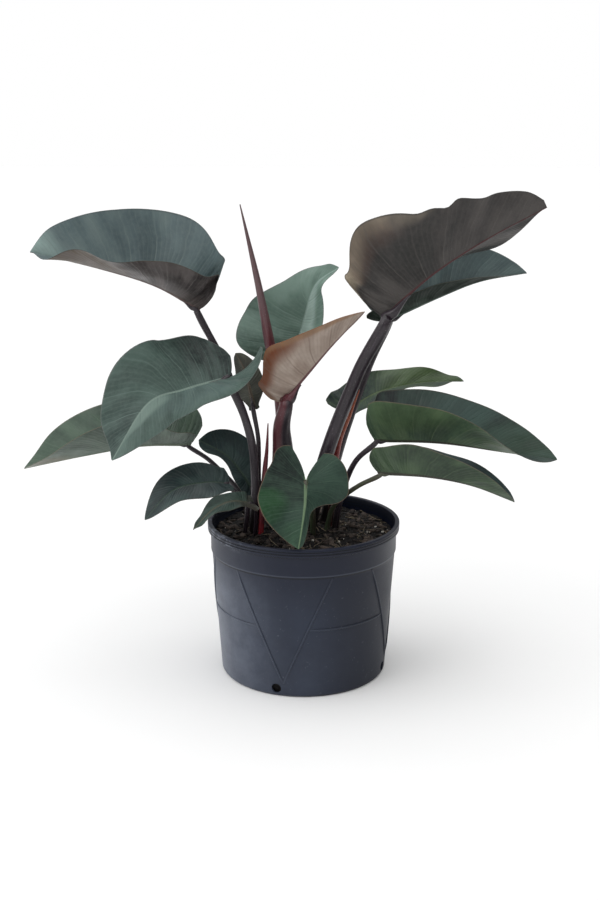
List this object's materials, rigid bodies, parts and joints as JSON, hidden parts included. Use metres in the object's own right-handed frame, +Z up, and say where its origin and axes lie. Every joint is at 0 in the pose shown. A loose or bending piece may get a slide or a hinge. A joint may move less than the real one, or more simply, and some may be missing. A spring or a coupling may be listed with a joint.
{
  "type": "potted congo rojo philodendron",
  "caption": "Leafy aroid house plant with broad heart-shaped blades on dark stalks, growing in potting mix in a plain round nursery pot.",
  "frame": {"origin": "centre of the pot's underside", "axes": "+Z up along the pot's axis, +X towards the right of the plant as pictured, +Y away from the viewer"},
  "size_m": [0.7603, 0.2893, 0.6952],
  "materials": {
    "pot": "satin moulded plastic",
    "soil": "rough bark mix",
    "leaf_dark": "waxy, dark blue-green",
    "leaf_green": "waxy, green",
    "leaf_maroon": "satin, maroon-brown underside",
    "leaf_copper": "satin, coppery young leaf",
    "stalk": "smooth, dark purple",
    "spike": "smooth, red-purple"
  },
  "bodies": {
    "root": {"pot": "pot", "soil": "soil", "blade_upper_left": "leaf_dark", "blade_upper_right": "leaf_maroon", "blade_right_behind": "leaf_green", "blade_middle_left": "leaf_dark", "blade_far_left": "leaf_green", "blade_young": "leaf_copper", "blade_back": "leaf_green", "blade_small_back": "leaf_maroon", "blade_low_left": "leaf_dark", "blade_inner_left": "leaf_dark", "blade_rim_left": "leaf_dark", "blade_front": "leaf_green", "blade_right_large": "leaf_green", "blade_right_low": "leaf_green", "blade_right_back": "leaf_green", "stalk_upper_left": "stalk", "stalk_upper_right": "stalk", "stalk_right_behind": "stalk", "stalk_middle_left": "stalk", "stalk_far_left": "stalk", "stalk_young": "stalk", "stalk_back": "stalk", "stalk_small_back": "stalk", "stalk_low_left": "stalk", "stalk_inner_left": "stalk", "stalk_rim_left": "stalk", "stalk_front": "stalk", "stalk_right_large": "stalk", "stalk_right_low": "stalk", "stalk_right_back": "stalk", "tall_spike": "spike", "red_spike": "spike", "red_sheath": "spike"}
  },
  "joints": []
}
